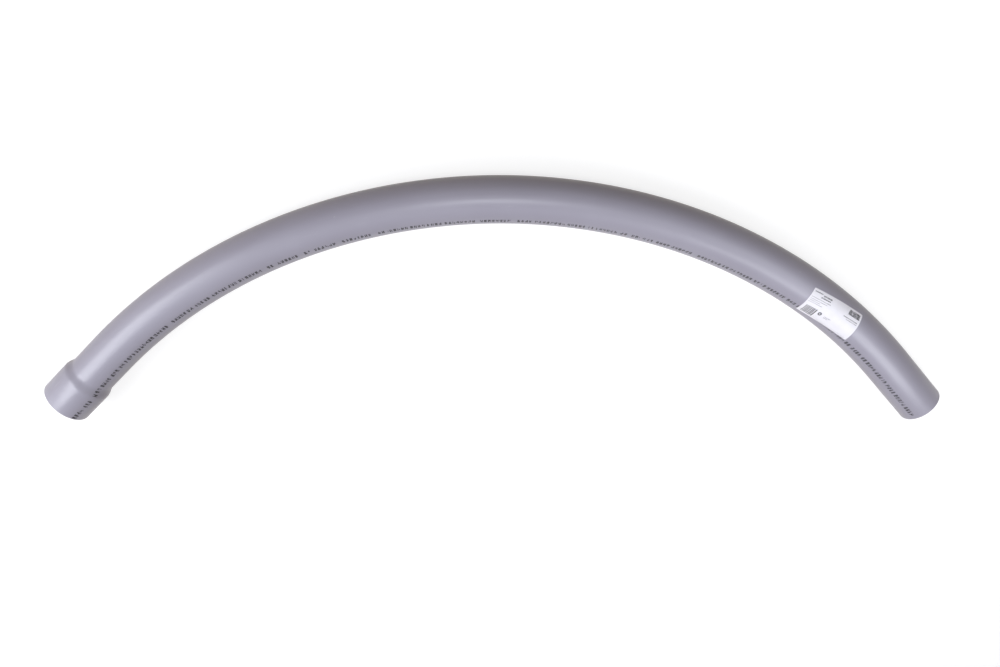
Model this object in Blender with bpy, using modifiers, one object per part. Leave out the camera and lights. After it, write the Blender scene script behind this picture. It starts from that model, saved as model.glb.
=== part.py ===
"""A rigid PVC conduit elbow: a long quarter sweep of tube with one end belled into a socket.

The elbow lies flat, as it would on a bench. Its bend is horizontal, the socket opens towards -Y
and the plain spigot points along +X. Units are metres, +Z is up, and the origin is on the bench,
in the middle of the elbow's footprint.
"""

import math

import bmesh
import bpy
from mathutils import Matrix, Vector

INCH = 0.0254
MM = 0.001

# Tube
TUBE_DIAMETER = 2.875 * INCH
WALL = 0.203 * INCH
BEND_RADIUS = 36 * INCH  # to the centre line
BEND_ANGLE = math.radians(90)
SPIGOT_LENGTH = 102 * MM  # straight tube between the bend and the cut end

# Bell, which takes the spigot of the next tube
NECK_LENGTH = 49 * MM  # straight tube between the bend and the shoulder
SHOULDER_LENGTH = 20 * MM
SOCKET_DEPTH = 54 * MM
SOCKET_CLEARANCE = 0.2 * MM  # on the radius, filled with solvent cement
RIM_CHAMFER = 0.6 * MM  # on the edges of both open ends

# Paper label, stuck on the bend near the spigot
LABEL_LENGTH = 4 * INCH
LABEL_WIDTH = 2 * INCH
LABEL_CORNER = 2 * MM
LABEL_THICKNESS = 0.2 * MM
LABEL_CLEARANCE = 0.3 * MM  # adhesive between the tube and the paper
LABEL_SETBACK = 165 * MM  # along the centre line, from the bend's end to the label's middle
LABEL_TURN = math.radians(96.5)  # round the tube, from the outside of the bend over its top
LABEL_SKEW = math.radians(7.1)  # how far the label is stuck on askew

# Fineness of the faces
TUBE_SIDES = 36
BEND_STEPS = 45
SHOULDER_STEPS = 5
LABEL_CELLS = (10, 16)  # along and across
CORNER_STEPS = 4
CHAMFER_STEPS = 2
SHARP_ANGLE = math.radians(60)  # only the rims of the open ends are sharper than this

TUBE_RADIUS = TUBE_DIAMETER / 2
BORE_RADIUS = TUBE_RADIUS - WALL
SOCKET_RADIUS = TUBE_RADIUS + SOCKET_CLEARANCE
# Swelling the hot tube thins its wall, and leaves the area of plastic in its section as it was
BELL_RADIUS = math.sqrt(SOCKET_RADIUS**2 + TUBE_RADIUS**2 - BORE_RADIUS**2)
BELL_WALL = BELL_RADIUS - SOCKET_RADIUS
THICKEST_WALL = max(WALL, BELL_WALL)
BEND_LENGTH = BEND_RADIUS * BEND_ANGLE
UP = Vector((0, 0, 1))


def clear_scene():
    for thing in list(bpy.data.objects):
        bpy.data.objects.remove(thing)


def make_material(name, colour, roughness):
    material = bpy.data.materials.new(name)
    material.use_nodes = True
    shader = material.node_tree.nodes["Principled BSDF"]
    shader.inputs["Base Color"].default_value = (*colour, 1)
    shader.inputs["Roughness"].default_value = roughness
    shader.inputs["Metallic"].default_value = 0
    return material


def bend_directions(angle):
    """The outward and the forward direction at an angle back round the bend, from its spigot end."""
    outward = Vector((-math.sin(angle), math.cos(angle), 0))
    forward = Vector((math.cos(angle), math.sin(angle), 0))
    return outward, forward


def centre_line(back):
    """The point at a distance back along the centre line from the cut end, with its directions."""
    into_bend = min(max(back - SPIGOT_LENGTH, 0), BEND_LENGTH)
    outward, forward = bend_directions(into_bend / BEND_RADIUS)
    past_bend = SPIGOT_LENGTH + into_bend - back  # forwards on the spigot, backwards on the bell
    return outward * BEND_RADIUS + forward * past_bend, outward, forward


def tube_sections():
    """Each section's distance back from the cut end, outer radius and wall, up to the socket's mouth."""
    sections = [(0, TUBE_RADIUS, WALL)]
    for step in range(BEND_STEPS + 1):
        sections.append((SPIGOT_LENGTH + BEND_LENGTH * step / BEND_STEPS, TUBE_RADIUS, WALL))
    shoulder = SPIGOT_LENGTH + BEND_LENGTH + NECK_LENGTH
    for step in range(SHOULDER_STEPS + 1):
        share = step / SHOULDER_STEPS
        swell = (1 - math.cos(math.pi * share)) / 2  # a smooth S from the tube up to the bell
        radius = TUBE_RADIUS + swell * (BELL_RADIUS - TUBE_RADIUS)
        wall = WALL + swell * (BELL_WALL - WALL)
        sections.append((shoulder + share * SHOULDER_LENGTH, radius, wall))
    sections.append((shoulder + SHOULDER_LENGTH + SOCKET_DEPTH, BELL_RADIUS, BELL_WALL))
    return sections


def section_frame(back, radius):
    """The matrix that takes a unit circle about Z to a section of the tube."""
    point, outward, forward = centre_line(back)
    axes = Matrix((outward, UP, forward)).transposed().to_4x4()
    return Matrix.Translation(point) @ axes @ Matrix.Scale(radius, 4)


def make_bend_centre(sections):
    """An empty at the middle of the bend, placed so that the elbow lies on the bench about the origin."""
    edges = []
    for back, radius, _ in sections:
        point, outward, _ = centre_line(back)
        edges += [point + outward * radius, point - outward * radius]
    low = Vector((min(edge.x for edge in edges), min(edge.y for edge in edges)))
    high = Vector((max(edge.x for edge in edges), max(edge.y for edge in edges)))
    middle = (low + high) / 2
    bend_centre = bpy.data.objects.new("bend_centre", None)
    bend_centre.location = (-middle.x, -middle.y, BELL_RADIUS)
    return bend_centre


def make_elbow_tube(sections):
    """A circle extruded from section to section, then given its wall, which is thinner at the bell."""
    skin = bmesh.new()
    weights = skin.verts.layers.deform.verify()
    frame = section_frame(*sections[0][:2])
    ring = bmesh.ops.create_circle(skin, segments=TUBE_SIDES, radius=1, matrix=frame)["verts"]
    edges = skin.edges[:]
    for vert in ring:
        vert[weights][0] = sections[0][2] / THICKEST_WALL
    for back, radius, wall in sections[1:]:
        extruded = bmesh.ops.extrude_edge_only(skin, edges=edges)["geom"]
        ring = [item for item in extruded if isinstance(item, bmesh.types.BMVert)]
        edges = [item for item in extruded if isinstance(item, bmesh.types.BMEdge)]
        next_frame = section_frame(back, radius)
        bmesh.ops.transform(skin, verts=ring, matrix=next_frame @ frame.inverted())
        frame = next_frame
        for vert in ring:
            vert[weights][0] = wall / THICKEST_WALL
    bmesh.ops.recalc_face_normals(skin, faces=skin.faces)

    mesh = bpy.data.meshes.new("elbow_tube")
    skin.to_mesh(mesh)
    skin.free()
    mesh.shade_smooth()
    mesh.materials.append(make_material("grey_pvc", (0.33, 0.32, 0.385), 0.42))
    tube = bpy.data.objects.new("elbow_tube", mesh)
    tube.vertex_groups.new(name="wall")

    wall = tube.modifiers.new("wall", "SOLIDIFY")
    wall.thickness = THICKEST_WALL
    wall.vertex_group = "wall"
    wall.offset = -1
    wall.use_even_offset = True
    rims = tube.modifiers.new("rims", "BEVEL")
    rims.width = RIM_CHAMFER
    rims.segments = CHAMFER_STEPS
    rims.limit_method = "ANGLE"
    rims.angle_limit = SHARP_ANGLE
    return tube


def wrap_on_bend(flat):
    """The point of the bend's surface where a point of the flat label comes to lie."""
    reach = TUBE_RADIUS + LABEL_CLEARANCE
    turn = LABEL_TURN - flat.y / reach
    from_axis = BEND_RADIUS + reach * math.cos(turn)
    outward, _ = bend_directions(LABEL_SETBACK / BEND_RADIUS - flat.x / from_axis)
    return outward * from_axis + UP * reach * math.sin(turn)


def make_label():
    """A flat sheet with rounded corners, turned askew, wrapped on the bend and given its thickness."""
    sheet = bmesh.new()
    bmesh.ops.create_grid(
        sheet,
        x_segments=LABEL_CELLS[0],
        y_segments=LABEL_CELLS[1],
        size=0.5,
        matrix=Matrix.Diagonal((LABEL_LENGTH, LABEL_WIDTH, 1, 1)),
    )
    corners = [vert for vert in sheet.verts if len(vert.link_edges) == 2]
    bmesh.ops.bevel(
        sheet,
        geom=corners,
        offset=LABEL_CORNER,
        segments=CORNER_STEPS,
        profile=0.5,
        affect="VERTICES",
        clamp_overlap=True,
    )
    bmesh.ops.rotate(sheet, verts=sheet.verts, matrix=Matrix.Rotation(LABEL_SKEW, 3, "Z"))
    for vert in sheet.verts:
        vert.co = wrap_on_bend(vert.co)

    mesh = bpy.data.meshes.new("adhesive_label")
    sheet.to_mesh(mesh)
    sheet.free()
    mesh.shade_smooth()
    mesh.materials.append(make_material("label_paper", (0.86, 0.86, 0.87), 0.6))
    label = bpy.data.objects.new("adhesive_label", mesh)
    paper = label.modifiers.new("paper", "SOLIDIFY")
    paper.thickness = LABEL_THICKNESS
    paper.offset = 1
    return label


def main():
    clear_scene()
    elbow = bpy.data.collections.new("pvc_conduit_elbow")
    bpy.context.scene.collection.children.link(elbow)
    sections = tube_sections()
    bend_centre = make_bend_centre(sections)
    elbow.objects.link(bend_centre)
    for piece in (make_elbow_tube(sections), make_label()):
        piece.parent = bend_centre
        elbow.objects.link(piece)


main()
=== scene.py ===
# %% [markdown]
# # A grey PVC conduit elbow
# The real elbow is one length of plastic tube, bent while hot into a long quarter turn. One end is
# swelled into a socket and the other is cut off square. A line of marks is printed along it, and a
# paper label is stuck on near the cut end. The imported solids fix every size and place, and this
# lesson models the finished surfaces over them.

# %% Load the solids as a fixed frame
import math
import random

import bpy
import numpy as np
from mathutils import Matrix, Vector


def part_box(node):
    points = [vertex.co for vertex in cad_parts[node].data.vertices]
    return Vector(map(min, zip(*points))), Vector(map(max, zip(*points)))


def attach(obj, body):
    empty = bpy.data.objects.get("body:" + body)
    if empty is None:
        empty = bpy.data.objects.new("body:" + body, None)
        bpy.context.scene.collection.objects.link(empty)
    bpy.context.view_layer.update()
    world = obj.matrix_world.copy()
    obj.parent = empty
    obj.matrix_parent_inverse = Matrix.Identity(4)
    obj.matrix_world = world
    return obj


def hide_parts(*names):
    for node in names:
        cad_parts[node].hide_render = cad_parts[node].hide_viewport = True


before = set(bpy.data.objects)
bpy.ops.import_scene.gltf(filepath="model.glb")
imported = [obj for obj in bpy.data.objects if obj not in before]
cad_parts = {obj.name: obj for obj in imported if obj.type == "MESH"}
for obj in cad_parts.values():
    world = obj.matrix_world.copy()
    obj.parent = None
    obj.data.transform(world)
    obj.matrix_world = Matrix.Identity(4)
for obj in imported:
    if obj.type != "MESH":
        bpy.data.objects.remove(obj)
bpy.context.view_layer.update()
tube_low, tube_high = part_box("elbow_tube")

# %% [markdown]
# ## Sizes
# A bent tube needs few numbers: how thick it is, how wide it swings and how long its straight ends
# are. They could be typed in again at every step, but named once they can be changed together. The
# place of the bend and the width of the bell are read from the solids instead.

# %% Name the sizes of the real tube
INCH = 0.0254
MM = 0.001
TUBE_WIDTH = 2.875 * INCH
WALL = 0.203 * INCH
SOCKET_SLACK = 0.2 * MM
TUBE_RADIUS = TUBE_WIDTH / 2
BORE_RADIUS = TUBE_RADIUS - WALL
SOCKET_RADIUS = TUBE_RADIUS + SOCKET_SLACK
BELL_RADIUS = (tube_high.z - tube_low.z) / 2
BEND_RADIUS = 36 * INCH
BEND_ANGLE = math.radians(90)
BEND_LENGTH = BEND_RADIUS * BEND_ANGLE
SPIGOT_LENGTH = 102 * MM
NECK_LENGTH = 49 * MM
SHOULDER_LENGTH = 20 * MM
SOCKET_DEPTH = 54 * MM
TUBE_LENGTH = SPIGOT_LENGTH + BEND_LENGTH + NECK_LENGTH + SHOULDER_LENGTH + SOCKET_DEPTH

bend_centre = Vector(
    (
        tube_high.x - SPIGOT_LENGTH,
        tube_low.y + SOCKET_DEPTH + SHOULDER_LENGTH + NECK_LENGTH,
        BELL_RADIUS,
    )
)
print("bend centre", bend_centre[:], "length of tube", TUBE_LENGTH)

# %% [markdown]
# ## The tube
# The wall of the real tube is one skin that runs along the outside, over the rim of the bell, back
# through the bore and out to the cut end. A curve with a bevel could draw the bend, but not the
# bell or the bore. So the skin is drawn as a glass-blower would: one ring at the cut end is pulled
# along the whole of that path.

# %% Start with a ring at the cut end
TUBE_SIDES = 128

bpy.ops.object.select_all(action="DESELECT")
bpy.ops.mesh.primitive_circle_add(
    vertices=TUBE_SIDES,
    radius=TUBE_RADIUS,
    location=bend_centre + Vector((SPIGOT_LENGTH, BEND_RADIUS, 0)),
    rotation=(0, math.radians(90), 0),
)
tube = bpy.context.object
tube.name = tube.data.name = "conduit_tube"
bpy.ops.object.transform_apply(location=True, rotation=True, scale=True)
print("ring of", len(tube.data.vertices), "points")

# %% Pull the ring along the spigot, round the bend and down the neck
BEND_STEPS = 120


def pull(*move):
    """Extrudes the selected ring and leaves the new ring selected."""
    bpy.ops.mesh.extrude_region_move(TRANSFORM_OT_translate={"value": move})


def swing(angle):
    """Spins the selected ring anticlockwise round the middle of the bend, seen from above."""
    bpy.ops.mesh.spin(steps=BEND_STEPS, angle=angle, center=bend_centre, axis=(0, 0, -1))


bpy.ops.object.mode_set(mode="EDIT")
bpy.ops.mesh.select_all(action="SELECT")
pull(-SPIGOT_LENGTH, 0, 0)
swing(BEND_ANGLE)
pull(0, -NECK_LENGTH, 0)
print("pulled spigot, bend and neck of", SPIGOT_LENGTH, BEND_LENGTH, NECK_LENGTH)

# %% [markdown]
# The bell is made by pushing the hot end of the tube over a plug, so its shoulder is a smooth S and
# its wall is a little thinner than the tube's. Sculpting would give a soft shape but no true size.
# Here each ring of the shoulder is pulled a little way and scaled to the radius that the S asks for,
# first outwards over the outside, then back along the inside.

# %% Swell the ring into the bell, turn in over its rim and come back inside
SHOULDER_STEPS = 12


def shoulder(start, end):
    """Pairs of depth past the neck and radius, along the S from one radius to another."""
    shares = [step / SHOULDER_STEPS for step in range(SHOULDER_STEPS + 1)]
    swells = [(1 - math.cos(math.pi * share)) / 2 for share in shares]
    depths = [share * SHOULDER_LENGTH for share in shares]
    return [(depth, start + swell * (end - start)) for depth, swell in zip(depths, swells)]


MOUTH = SHOULDER_LENGTH + SOCKET_DEPTH
bell_path = shoulder(TUBE_RADIUS, BELL_RADIUS)[1:]
bell_path += [(MOUTH, BELL_RADIUS), (MOUTH, SOCKET_RADIUS)]
bell_path += shoulder(BORE_RADIUS, SOCKET_RADIUS)[::-1]

depth, radius = 0, TUBE_RADIUS
for next_depth, next_radius in bell_path:
    pull(0, depth - next_depth, 0)
    scale = next_radius / radius
    ring_middle = bend_centre + Vector((-BEND_RADIUS, -NECK_LENGTH - next_depth, 0))
    bpy.ops.transform.resize(value=(scale, 1, scale), center_override=ring_middle)
    depth, radius = next_depth, next_radius
print("bell of", len(bell_path), "rings, from radius", TUBE_RADIUS, "to", BELL_RADIUS)

# %% Run the bore back to the cut end and close the wall there
pull(0, NECK_LENGTH, 0)
swing(-BEND_ANGLE)
pull(SPIGOT_LENGTH, 0, 0)

bpy.ops.mesh.select_mode(type="EDGE")
bpy.ops.mesh.select_all(action="DESELECT")
bpy.ops.mesh.select_non_manifold(
    extend=False, use_wire=False, use_multi_face=False, use_non_contiguous=False, use_verts=False
)
bpy.ops.mesh.bridge_edge_loops()
bpy.ops.mesh.select_all(action="SELECT")
bpy.ops.mesh.normals_make_consistent(inside=False)
print("bore of radius", BORE_RADIUS, "run back, and the wall closed at the cut end")

# %% Take the sharpness off the four rims
RIM_ROUND = 0.6 * MM
RIM_STEPS = 3
SHARP_ANGLE = math.radians(60)

bpy.ops.mesh.select_all(action="DESELECT")
bpy.ops.mesh.edges_select_sharp(sharpness=SHARP_ANGLE)
bpy.ops.mesh.bevel(offset=RIM_ROUND, segments=RIM_STEPS, affect="EDGES")
bpy.ops.object.mode_set(mode="OBJECT")
bpy.ops.object.shade_smooth_by_angle(angle=SHARP_ANGLE)
print("tube of", len(tube.data.polygons), "faces")

# %% [markdown]
# ## Straightened places
# The tube was extruded straight, so its fine lines run along it and follow the bend. A pattern on
# plain object coordinates would cut across the bend instead, and a UV map would show a seam. So each
# point keeps the place that it had before the tube was bent: how far along, and where in the round
# section. Materials read it as an attribute.

# %% Store the straightened place of each point


def points_of(piece):
    points = np.empty(len(piece.data.vertices) * 3)
    piece.data.vertices.foreach_get("co", points)
    return points.reshape(-1, 3)


def straightened(points):
    """Distance back from the bend's spigot end, then outwards and up from the centre line."""
    x, y, z = (points - np.array(bend_centre)).T
    angle = np.clip(np.arctan2(-x, y), 0, BEND_ANGLE)
    past_bend = x * np.cos(angle) + y * np.sin(angle)
    outwards = y * np.cos(angle) - x * np.sin(angle) - BEND_RADIUS
    return np.stack((angle * BEND_RADIUS - past_bend, outwards, z), axis=1)


def store_straightened(piece):
    attribute = piece.data.attributes.new("straightened", "FLOAT_VECTOR", "POINT")
    attribute.data.foreach_set("vector", straightened(points_of(piece)).ravel())


store_straightened(tube)
along = straightened(points_of(tube))[:, 0]
print("straightened tube runs from", along.min(), "to", along.max())

# %% [markdown]
# ## Shader maths as plain expressions
# A finish is a chain of nodes. Linking them one by one is slow to read, so a small class wraps a
# socket: adding or multiplying two of them makes the Math node that does it, and one method makes
# any other node.

# %% Wrap a socket


class Wire:
    """A socket that takes part in Python expressions and can start new nodes."""

    def __init__(self, tree, socket=None):
        self.tree = tree
        self.socket = socket

    def node(self, kind, settings, sockets, out=0):
        """Adds a node, sets it up, fills or links its sockets and wraps one of its outputs."""
        node = self.tree.nodes.new(kind)
        for name, value in settings.items():
            setattr(node, name, value)
        for key, value in sockets.items():
            if isinstance(value, Wire):
                self.tree.links.new(value.socket, node.inputs[key])
            else:
                node.inputs[key].default_value = value
        return Wire(self.tree, node.outputs[out])

    def maths(self, operation, first, second):
        return self.node("ShaderNodeMath", {"operation": operation}, {0: first, 1: second})

    def least(self, other):
        return self.maths("MINIMUM", self, other)

    def most(self, other):
        return self.maths("MAXIMUM", self, other)

    def __add__(self, other):
        return self.maths("ADD", self, other)

    def __sub__(self, other):
        return self.maths("SUBTRACT", self, other)

    def __rsub__(self, other):
        return self.maths("SUBTRACT", other, self)

    def __mul__(self, other):
        return self.maths("MULTIPLY", self, other)

    __radd__ = __add__
    __rmul__ = __mul__

    def between(self, low, high):
        """A smooth mask that is 0 up to low and 1 from high."""
        settings = {"interpolation_type": "SMOOTHSTEP"}
        return self.node("ShaderNodeMapRange", settings, {"Value": self, 1: low, 2: high})

    def scaled(self, *factors):
        return self.node("ShaderNodeVectorMath", {"operation": "MULTIPLY"}, {0: self, 1: factors})

    def noise(self, scale=1, detail=2):
        """Soft noise from 0 to 1 over a vector, with scale in blots a metre."""
        sockets = {"Vector": self, "Scale": scale, "Detail": detail}
        return self.node("ShaderNodeTexNoise", {}, sockets)

    def colour(self, low, high):
        """A colour that goes from low to high as this value goes from 0 to 1."""
        settings = {"data_type": "RGBA"}
        sockets = {0: self}
        for key, value in ((6, low), (7, high)):
            sockets[key] = value if isinstance(value, Wire) else (*value, 1)
        return self.node("ShaderNodeMix", settings, sockets, out=2)

    def bump(self, distance):
        return self.node("ShaderNodeBump", {}, {"Height": self, "Distance": distance})


def new_finish(name):
    """A new material, its shader, and a wire to start nodes from."""
    material = bpy.data.materials.new(name)
    material.use_nodes = True
    shader = material.node_tree.nodes["Principled BSDF"]
    return material, shader, Wire(material.node_tree)


def straightened_place(start):
    """A wire that reads where each point lay before the tube was bent."""
    return start.node("ShaderNodeAttribute", {"attribute_name": "straightened"}, {}, out=1)


def connect(shader, **wires):
    """Links wires to the shader's sockets, named with _ for a space."""
    for name, wire in wires.items():
        wire.tree.links.new(wire.socket, shader.inputs[name.replace("_", " ")])


# %% [markdown]
# ## Grey PVC
# Conduit plastic is a cool grey, coloured right through, with a satin skin. The die leaves fine
# lines along the tube, cooling leaves a faint orange peel, and handling leaves pale rubs and nicks.
# The saw leaves both ends matt and scored, and their rims wear pale. One flat grey would look like
# paint, so each of these is a noise of its own real size, kept weak, or a mask by the distance from
# an end.

# %% Make the grey PVC finish
PVC_GREY = (0.319, 0.305, 0.360)
PVC_PALE = (0.339, 0.325, 0.382)
RUB_GREY = (0.428, 0.416, 0.458)
SKIN_ROUGHNESS = 0.28
SKIN_BUMP = 0.05 * MM
SAWN_DEPTH = 0.2 * MM
RIM_WEAR = 3 * MM

# Blots a metre: one number for all ways, or along the tube, outwards and up.
CLOUD_SCALE = 7
DIE_LINE_SCALE = (1.5, 520, 520)
PEEL_SCALE = 650
RUB_SCALE = (30, 260, 260)
RUB_PATCH_SCALE = 12
NICK_SCALE = (90, 220, 220)
WEAR_SCALE = 350
SCORE_SCALE = (0, 1400, 90)


def grey_pvc():
    material, shader, start = new_finish("grey_pvc")
    place = straightened_place(start)
    back = start.node("ShaderNodeSeparateXYZ", {}, {0: place})
    from_cut = back + SPIGOT_LENGTH
    from_mouth = TUBE_LENGTH - SPIGOT_LENGTH - back
    from_end = from_cut.least(from_mouth)

    clouds = place.noise(CLOUD_SCALE, detail=3)
    die_lines = place.scaled(*DIE_LINE_SCALE).noise()
    peel = place.noise(PEEL_SCALE)
    rub_patches = place.noise(RUB_PATCH_SCALE).between(0.5, 0.7)
    rubs = place.scaled(*RUB_SCALE).noise(detail=4).between(0.62, 0.78) * rub_patches
    nicks = place.scaled(*NICK_SCALE).noise(detail=1).between(0.80, 0.86)
    wear_patches = place.noise(WEAR_SCALE, detail=3).between(0.40, 0.65)
    worn = from_end.between(RIM_WEAR, 0) * wear_patches
    sawn = from_end.between(SAWN_DEPTH, SAWN_DEPTH / 4)
    scores = place.scaled(*SCORE_SCALE).noise()

    grey = clouds.between(0.3, 0.7).colour(PVC_GREY, PVC_PALE)
    pale = (rubs * 0.5).most(nicks * 0.8).most(worn * 0.6)
    connect(
        shader,
        Base_Color=pale.most(sawn * 0.5).colour(grey, RUB_GREY),
        Roughness=SKIN_ROUGHNESS + clouds * 0.06 + die_lines * 0.09 + pale * 0.2 + sawn * 0.25,
        Normal=(die_lines + peel * 0.5 + sawn * scores * 3).bump(SKIN_BUMP),
    )
    return material


tube.data.materials.append(grey_pvc())
print("finish of the tube:", tube.data.materials[0].name)

# %% [markdown]
# ## Laying flat things on the bend
# Ink and paper start flat and are laid round the tube. A Shrinkwrap modifier could press them down,
# but it would not keep their lengths true round the bend. So one function does what a hand does when
# it smooths a label on: lengths along stay lengths along, and widths become turns round the tube.

# %% Lay a flat piece on the tube


def outside_radius(back):
    """The tube's outer radius at a distance back from the cut end, shoulder and bell included."""
    share = np.clip((back - SPIGOT_LENGTH - BEND_LENGTH - NECK_LENGTH) / SHOULDER_LENGTH, 0, 1)
    return TUBE_RADIUS + (1 - np.cos(np.pi * share)) / 2 * (BELL_RADIUS - TUBE_RADIUS)


def lay_on_tube(piece, back, turn, lift, bent_with_tube=False):
    """Lays a piece with its x towards the spigot and its y towards the outside of the bend.

    Its origin goes to a distance back from the cut end and to a turn from the outside over the top,
    which may be a function of x, at a small lift off the plastic. Lengths stay true in every row, or
    along the middle row alone where the piece was there before the tube was bent.
    """
    x, y, z = points_of(piece).T
    middle_turn = turn(x) if callable(turn) else turn
    turn_here = middle_turn - y / TUBE_RADIUS
    radius_here = BEND_RADIUS + TUBE_RADIUS * np.cos(middle_turn if bent_with_tube else turn_here)
    start = (back - SPIGOT_LENGTH) / BEND_RADIUS
    angle = np.clip(start - x / radius_here, 0, BEND_ANGLE)
    past_bend = x - (start - angle) * radius_here
    reach = outside_radius(SPIGOT_LENGTH + angle * BEND_RADIUS - past_bend) + lift + z
    from_axis = BEND_RADIUS + reach * np.cos(turn_here)
    laid = np.stack(
        (
            bend_centre.x - np.sin(angle) * from_axis + np.cos(angle) * past_bend,
            bend_centre.y + np.cos(angle) * from_axis + np.sin(angle) * past_bend,
            bend_centre.z + reach * np.sin(turn_here),
        ),
        axis=1,
    )
    piece.data.vertices.foreach_set("co", laid.ravel())
    piece.data.update()


def thicken(piece, thickness):
    """Gives a laid sheet its thickness, away from the tube."""
    bpy.ops.object.modifier_add(type="SOLIDIFY")
    solidify = piece.modifiers[-1]
    solidify.thickness = thickness
    solidify.offset = 1
    bpy.ops.object.modifier_apply(modifier=solidify.name)


# %% [markdown]
# ## Print
# Ink has next to no thickness, and a painted texture would blur on so long a tube. So print is real
# geometry: a grid with one face for each dot that a print head could lay down, with the bare dots
# deleted. The marks are drawn by chance and spell nothing.

# %% Make a printed sheet from a map of its dots


def join_corners(dots):
    """Inks one more dot wherever two meet only at a corner, which would leave a pinched mesh."""
    top_left, top_right = dots[:-1, :-1], dots[:-1, 1:]
    low_left, low_right = dots[1:, :-1], dots[1:, 1:]
    while True:
        falling = top_left & low_right & ~top_right & ~low_left
        rising = top_right & low_left & ~top_left & ~low_right
        if not (falling | rising).any():
            return
        top_right |= falling
        top_left |= rising


def add_grid(name, length, width, columns, rows):
    """A flat grid about the origin, as the active object, with its size applied."""
    bpy.ops.object.select_all(action="DESELECT")
    bpy.ops.mesh.primitive_grid_add(
        x_subdivisions=columns, y_subdivisions=rows, size=1, location=(0, 0, 0)
    )
    piece = bpy.context.object
    piece.name = piece.data.name = name
    piece.scale = (length, width, 1)
    bpy.ops.object.transform_apply(location=True, rotation=True, scale=True)
    return piece


def edit_selected(kind, parts, chosen):
    """Opens the active piece for editing with only the chosen points or faces selected."""
    bpy.ops.object.mode_set(mode="EDIT")
    bpy.ops.mesh.select_mode(type=kind)
    bpy.ops.mesh.select_all(action="DESELECT")
    bpy.ops.object.mode_set(mode="OBJECT")
    parts.foreach_set("select", [chosen(part) for part in parts])
    bpy.ops.object.mode_set(mode="EDIT")


def add_print(name, dots, dot):
    """A grid with a face for each dot, rows from the top, where only the inked dots are left."""
    join_corners(dots)
    rows, columns = dots.shape
    piece = add_grid(name, columns * dot, rows * dot, columns, rows)

    def bare(face):
        row = int(rows / 2 - face.center.y / dot)
        column = int(columns / 2 + face.center.x / dot)
        return not dots[row, column]

    edit_selected("FACE", piece.data.polygons, bare)
    bpy.ops.mesh.delete(type="FACE")
    bpy.ops.object.mode_set(mode="OBJECT")
    print(name, "has", len(piece.data.polygons), "inked dots of", rows * columns)
    return piece


# %% [markdown]
# The line along the tube is laid down by a jet printer while the tube is still straight. It sits on
# the inner side of the bend and drifts a little round the tube and back, because bending twists the
# plastic. It runs from one end to the other, in groups of marks with gaps between.

# %% Draw the dots of the printed line
PRINT_DOT = 1.0 * MM
PRINT_ROWS = 7
PRINT_MARGIN = 1.5 * MM
PRINT_TURN = math.radians(129)
MARK_COLUMNS = 4
MARK_GAP = 2
MARKS_IN_GROUP = (2, 8)
GROUP_GAPS = (1, 2, 2, 3, 3, 4, 6, 9)
COLUMN_RUNS = ((0, 7), (0, 7), (0, 7), (0, 7), (0, 4), (3, 7), (2, 5), (0, 0))
LINE_SEED = 36

print_length = TUBE_LENGTH + BEND_ANGLE * TUBE_RADIUS * math.cos(PRINT_TURN) - 2 * PRINT_MARGIN
print_columns = int(print_length / PRINT_DOT)
line_dots = np.zeros((PRINT_ROWS, print_columns), bool)
chance = random.Random(LINE_SEED)
column = 0
while column < print_columns:
    for mark in range(chance.randint(*MARKS_IN_GROUP)):
        for stroke in range(MARK_COLUMNS):
            top, bottom = chance.choice(COLUMN_RUNS)
            line_dots[top:bottom, column + stroke : column + stroke + 1] = True
        column += MARK_COLUMNS + MARK_GAP
    column += chance.choice(GROUP_GAPS)
print("printed line of", print_columns, "columns, inked", line_dots.mean())

# %% Lay the printed line on the tube
INK_LIFT = 0.02 * MM
INK_THICKNESS = 0.05 * MM
PRINT_DRIFT = math.radians(9)
DRIFT_OUT = (0.05, 0.30)
DRIFT_BACK = (0.50, 0.87)


def smooth_step(value, low, high):
    share = np.clip((value - low) / (high - low), 0, 1)
    return share * share * (3 - 2 * share)


def print_turn(x):
    """The turn round the tube at a place along the line, which drifts inwards and back."""
    share = 0.5 - x / print_length
    drift = smooth_step(share, *DRIFT_OUT) - smooth_step(share, *DRIFT_BACK)
    return PRINT_TURN + PRINT_DRIFT * drift


printed_line = add_print("printed_line", line_dots, PRINT_DOT)
lay_on_tube(printed_line, TUBE_LENGTH / 2, print_turn, INK_LIFT, bent_with_tube=True)
thicken(printed_line, INK_THICKNESS)
store_straightened(printed_line)
along = straightened(points_of(printed_line))[:, 0]
print("printed line runs from", along.min(), "to", along.max())

# %% [markdown]
# Jet ink dries thin and uneven on plastic: where it starves, the grey shows through. The print head
# ran dry towards the spigot, so the line gets weaker along the tube. Fading the whole piece would
# need see-through ink, and a second, paler ink colour mixed in gives the same look.

# %% Make the ink finish
INK_DARK = (0.025, 0.025, 0.030)
INK_THIN = (0.12, 0.115, 0.13)
INK_ROUGHNESS = 0.45
STARVED_SCALE = 900
STARVED_WEIGHT = 0.5
FADE_FROM, FADE_TO = 1.2, 0.3
FADE_WEIGHT = 0.4


def jet_ink():
    material, shader, start = new_finish("jet_ink")
    place = straightened_place(start)
    back = start.node("ShaderNodeSeparateXYZ", {}, {0: place})
    starved = place.noise(STARVED_SCALE).between(0.35, 0.75)
    faded = back.between(FADE_FROM, FADE_TO)
    thin = 1 - (1 - starved * STARVED_WEIGHT) * (1 - FADE_WEIGHT * faded)
    connect(
        shader,
        Base_Color=thin.colour(INK_DARK, INK_THIN),
        Roughness=INK_ROUGHNESS + starved * 0.15,
    )
    return material


printed_line.data.materials.append(jet_ink())
print("finish of the printed line:", printed_line.data.materials[0].name)

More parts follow.
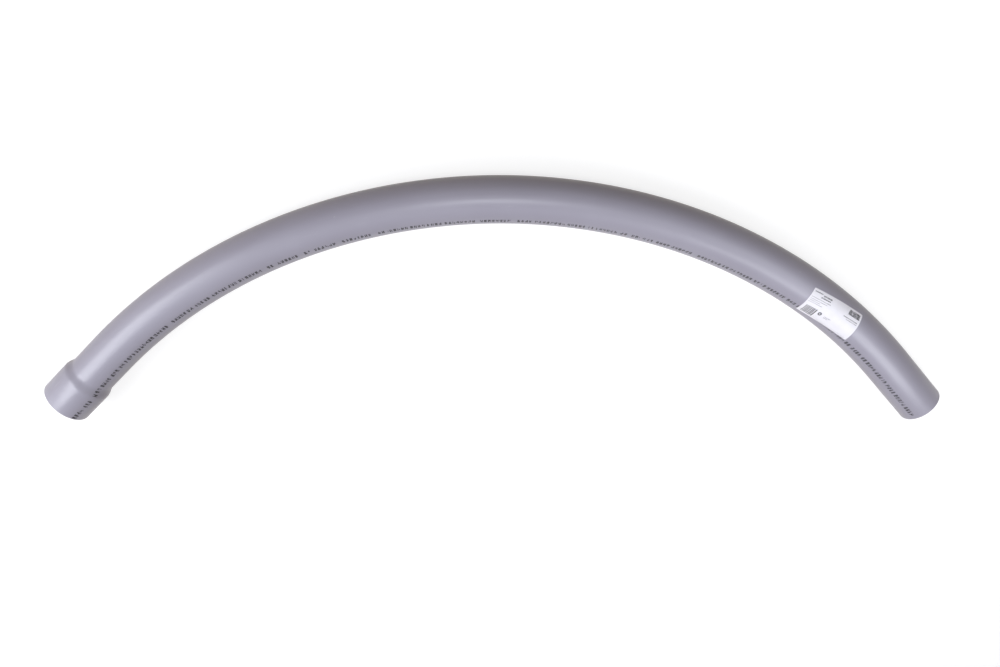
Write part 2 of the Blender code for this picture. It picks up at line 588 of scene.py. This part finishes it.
# %% [markdown]
# ## The label
# The label is a stock sheet of coated paper, 4 by 2 inches, stuck on a little askew. It could be a
# patch of the tube's own faces in another colour, but then it would have no edge to catch the light.
# It is its own thin sheet, with rounded corners, laid on the tube.

# %% Cut the label and stick it on
LABEL_LENGTH = 4 * INCH
LABEL_WIDTH = 2 * INCH
LABEL_CORNER = 2 * MM
CORNER_SLACK = 0.1 * MM
LABEL_CELLS = (48, 32)
CORNER_STEPS = 6
LABEL_BACK = SPIGOT_LENGTH + 165 * MM
LABEL_TURN = math.radians(96.5)
LABEL_SKEW = math.radians(7.1)
LABEL_LIFT = 0.1 * MM
PAPER_THICKNESS = 0.15 * MM


def turn_askew(piece):
    """Turns a flat piece as the label was turned when it was stuck on."""
    piece.rotation_euler.z = LABEL_SKEW
    bpy.ops.object.transform_apply(location=True, rotation=True, scale=True)


def is_corner(point):
    return abs(point.co.x) + abs(point.co.y) > (LABEL_LENGTH + LABEL_WIDTH) / 2 - CORNER_SLACK


label = add_grid("label_sheet", LABEL_LENGTH, LABEL_WIDTH, *LABEL_CELLS)
edit_selected("VERT", label.data.vertices, is_corner)
bpy.ops.mesh.bevel(offset=LABEL_CORNER, segments=CORNER_STEPS, affect="VERTICES")
bpy.ops.object.mode_set(mode="OBJECT")
turn_askew(label)
lay_on_tube(label, LABEL_BACK, LABEL_TURN, LABEL_LIFT)
thicken(label, PAPER_THICKNESS)
store_straightened(label)
bpy.ops.object.shade_smooth_by_angle(angle=SHARP_ANGLE)
print("label of", len(label.data.polygons), "faces")

# %% [markdown]
# Coated paper is white and smooth, with faint clouds where the fibres lie thicker. A plain white
# would pass for plastic. Two weak noises, one as fine as the fibres and one as broad as the clouds,
# are enough to make it paper, and they vary the white, the gloss and the surface together.

# %% Make the paper finish
PAPER_WHITE = (0.845, 0.83, 0.865)
PAPER_SHADE = (0.815, 0.80, 0.835)
PAPER_ROUGHNESS = 0.45
PAPER_BUMP = 0.01 * MM
FIBRE_SCALE = 900
PAPER_CLOUD_SCALE = 90


def label_paper():
    material, shader, start = new_finish("label_paper")
    place = straightened_place(start)
    fibres = place.noise(FIBRE_SCALE, detail=4)
    clouds = place.noise(PAPER_CLOUD_SCALE)
    pale = (clouds * 0.6 + fibres * 0.4).between(0.35, 0.65)
    connect(
        shader,
        Base_Color=pale.colour(PAPER_SHADE, PAPER_WHITE),
        Roughness=PAPER_ROUGHNESS + fibres * 0.15,
        Normal=fibres.bump(PAPER_BUMP),
    )
    return material


label.data.materials.append(label_paper())
print("finish of the label:", label.data.materials[0].name)

# %% [markdown]
# A stock label has a heading, some rows of small print, a field of stripes, a field of cells and a
# round mark. Text objects could make the rows, but at this size only their weight can be seen. So
# plain dashes, stripes, cells and a ring are inked as dots, as the line along the tube was.

# %% Draw the dots of the label
LABEL_DOT = 0.4 * MM
LABEL_SEED = 24
DASH_GAPS = (1, 2)
STRIPE_WIDTHS = (2, 5)
STRIPE_GAPS = (2, 4)
INKED_CELLS = 0.65

label_dots = np.zeros((int(LABEL_WIDTH / LABEL_DOT), int(LABEL_LENGTH / LABEL_DOT)), bool)
chance = random.Random(LABEL_SEED)


def dots_at(millimetres):
    return round(millimetres * MM / LABEL_DOT)


def draw_row(left, right, top, height, longest):
    """A row of dashes along the label, placed in millimetres from its top left corner."""
    column = dots_at(left)
    while column < dots_at(right):
        dash = chance.randint(1, longest)
        label_dots[dots_at(top) : dots_at(top + height), column : column + dash] = True
        column += dash + chance.randint(*DASH_GAPS)


def draw_stripes(left, right, top, bottom):
    column = dots_at(left)
    while column < dots_at(right):
        stripe = chance.randint(*STRIPE_WIDTHS)
        label_dots[dots_at(top) : dots_at(bottom), column : column + stripe] = True
        column += stripe + chance.randint(*STRIPE_GAPS)


def draw_cells(left, right, top, bottom, cell):
    for row in range(dots_at(top), dots_at(bottom), cell):
        for column in range(dots_at(left), dots_at(right), cell):
            inked = chance.random() < INKED_CELLS
            label_dots[row : row + cell, column : column + cell] = inked


def draw_ring(middle, outer, inner):
    rows, columns = np.indices(label_dots.shape)
    away = np.hypot(columns + 0.5 - dots_at(middle[0]), rows + 0.5 - dots_at(middle[1]))
    label_dots[(away < dots_at(outer)) & (away > dots_at(inner))] = True


draw_row(3, 18, 3.6, 1.6, 3)
draw_row(21, 38, 5.0, 2.4, 4)
draw_row(18, 36, 8.6, 2.4, 4)
draw_row(2.5, 39, 13.4, 1.2, 3)
draw_row(2.5, 34, 16.6, 0.8, 3)
draw_row(2.5, 22, 19.6, 0.8, 3)
draw_row(2.5, 28, 22.4, 0.8, 3)
draw_stripes(5.5, 27, 30, 47)
draw_ring((34, 34.3), 3.4, 1.2)
draw_row(43, 56, 34.4, 0.8, 3)
draw_row(43, 52, 37.0, 0.8, 3)
draw_cells(74, 98, 3.2, 11.6, 2)
draw_row(69, 98, 16.8, 1.2, 4)
draw_row(76, 98, 19.8, 1.2, 4)
draw_row(38, 98, 48.2, 0.8, 3)
print("label print covers", label_dots.mean())

# %% Lay the print on the label
label_print = add_print("label_print", label_dots, LABEL_DOT)
turn_askew(label_print)
lay_on_tube(label_print, LABEL_BACK, LABEL_TURN, LABEL_LIFT + PAPER_THICKNESS + INK_LIFT)
thicken(label_print, INK_THICKNESS)
store_straightened(label_print)
label_print.data.materials.append(jet_ink())
print("finish of the label's print:", label_print.data.materials[0].name)

# %% [markdown]
# ## Riding on the frame
# Nothing moves on this elbow, so every piece rides on its one body. The drawn tube and label stand
# for the plain solids, which stay in the frame unseen.

# %% Tie the pieces to the frame
for piece in (tube, printed_line, label, label_print):
    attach(piece, "root")
    print(piece.name, "rides on root")
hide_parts("elbow_tube")
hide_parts("adhesive_label")

# %% [markdown]
# ## Floor, light and camera
# The elbow lies flat on a white floor and is seen from above, from the outer side of its bend. Places
# for the lamps could be given in the frame's own axes, but the picture is turned against those. They
# are easier to find in the picture's directions from the middle of the bend: right, up and above.

# %% Find places by the picture's directions
bend_middle = bend_centre + Vector((-1, 1, 0)).normalized() * BEND_RADIUS
picture_right = Vector((1, 1, 0)).normalized()
picture_up = Vector((-1, 1, 0)).normalized()


def picture_place(right, up, above):
    return bend_middle + picture_right * right + picture_up * up + Vector((0, 0, above))


print("middle of the bend", bend_middle[:])

# %% [markdown]
# The floor is a plain white sheet. Enough light would make any floor white, but it would bleach the
# elbow too. So the floor glows only for the rays that show it, straight or in a reflection, and to
# the rays that light the elbow from below it is dark and warm. The elbow's shadow stays on it.

# %% Lay the floor
FLOOR_SIZE = 60
FLOOR_DROP = 0.2 * MM
FLOOR_ROUGHNESS = 0.9
FLOOR_GREY = (0.28, 0.28, 0.28)
FLOOR_BOUNCE = (0.24, 0.12, 0.03)
FLOOR_GLOW = (0.80, 0.80, 0.80)


def seen_rays(start):
    """A wire that is 1 for the rays that show the background, and 0 for those that light things."""

    def ray(kind):
        return start.node("ShaderNodeLightPath", {}, {}, out=kind)

    return ray("Is Camera Ray") + ray("Is Glossy Ray") + ray("Is Transmission Ray")


def white_floor():
    """White to the eye and to reflections, and darker and warmer as a source of bounced light."""
    material, shader, start = new_finish("white_floor")
    shader.inputs["Roughness"].default_value = FLOOR_ROUGHNESS
    shader.inputs["Emission Strength"].default_value = 1
    seen = seen_rays(start)
    connect(
        shader,
        Base_Color=seen.colour(FLOOR_BOUNCE, FLOOR_GREY),
        Emission_Color=seen.colour((0, 0, 0), FLOOR_GLOW),
    )
    return material


bpy.ops.object.select_all(action="DESELECT")
bpy.ops.mesh.primitive_plane_add(size=FLOOR_SIZE, location=(0, 0, -FLOOR_DROP))
floor = bpy.context.object
floor.name = "floor"
floor.data.materials.append(white_floor())
print("floor of", FLOOR_SIZE, "m")

# %% [markdown]
# Long soft streaks along a satin tube come from broad lamps. A sun would give one hard line, and a
# bright sky would light every side alike. Oblong area lamps are softboxes, as in a studio: two on the
# left make the main streak, one on the right is narrowed to the spigot, and the others fill in from
# the inner side and from above.

# %% Hang the lamps
COOL_WHITE = (0.92, 0.94, 1.0)
SPIGOT_SIDE = picture_place(0.55, -0.2, 0)
NARROWED = math.radians(100)


def add_softbox(name, place, width, height, power, target=bend_middle, spread=math.pi):
    """An oblong area lamp that faces the middle of the bend or another place."""
    bpy.ops.object.light_add(type="AREA", location=place)
    lamp = bpy.context.object
    lamp.name = name
    lamp.data.shape = "RECTANGLE"
    lamp.data.size = width
    lamp.data.size_y = height
    lamp.data.energy = power
    lamp.data.color = COOL_WHITE
    lamp.data.spread = spread
    lamp.rotation_euler = (place - target).to_track_quat("Z", "Y").to_euler()


add_softbox("left_softbox", picture_place(-1.7, -0.38, 1.3), 1.4, 0.9, 36)
add_softbox("left_low_softbox", picture_place(-2.4, 0.0, 0.5), 2.0, 0.7, 7)
add_softbox("right_softbox", picture_place(1.1, -0.9, 1.3), 1.0, 0.7, 5.2, SPIGOT_SIDE, NARROWED)
add_softbox("inner_softbox", picture_place(-0.4, -0.7, 1.5), 1.2, 0.9, 2.0)
add_softbox("ceiling_softbox", picture_place(1.3, 0.0, 1.5), 0.8, 0.8, 5.5)
add_softbox("overhead_softbox", picture_place(0, 0.16, 1.5), 0.35, 0.3, 5.2)

# %% [markdown]
# The room adds almost no light of its own, so that the lamps do the shaping. Its walls are pale where
# they are seen, straight or in the plastic, by the same choice of rays as on the floor. A backdrop of
# real walls would do it too, but it would stand in the way of the lamps.

# %% Light the room
ROOM_GLOW = (0.020, 0.015, 0.010)
WALL_TONE = (0.60, 0.55, 0.49)

world = bpy.data.worlds.new("room")
bpy.context.scene.world = world
world.use_nodes = True
background = world.node_tree.nodes["Background"]
seen = seen_rays(Wire(world.node_tree))
connect(background, Color=seen.colour(ROOM_GLOW, WALL_TONE))
print("room glows", ROOM_GLOW, "and shows", WALL_TONE)

# %% [markdown]
# The camera stands above the outer side of the bend, and its place and lens give the elbow the
# outline that it has in the picture. A camera could be aimed by a constraint, but its roll matters
# here, so its three axes are worked out from the direction on the floor that is up in the picture.
# The frame is shifted a little, because the middle of the lens lies below the middle of the picture.

# %% Place the camera
CAMERA_PLACE = Vector((-0.50521, 0.41090, 1.41273))
CAMERA_TARGET = Vector((0.00750, -0.00858, BELL_RADIUS))
CAMERA_UP = math.radians(136.72)
LENS = 32.308
SENSOR_WIDTH = 36
FRAME_SHIFT = 0.06

bpy.ops.object.camera_add(location=CAMERA_PLACE)
camera = bpy.context.object
camera.data.lens = LENS
camera.data.sensor_width = SENSOR_WIDTH
camera.data.shift_y = FRAME_SHIFT
backward = (CAMERA_PLACE - CAMERA_TARGET).normalized()
right = Vector((math.cos(CAMERA_UP), math.sin(CAMERA_UP), 0)).cross(backward).normalized()
axes = Matrix((right, backward.cross(right), backward)).transposed()
camera.rotation_euler = axes.to_euler()
bpy.context.scene.camera = camera
bpy.context.scene.view_settings.view_transform = "Standard"
print("camera at", CAMERA_PLACE[:], "looks at", CAMERA_TARGET[:])
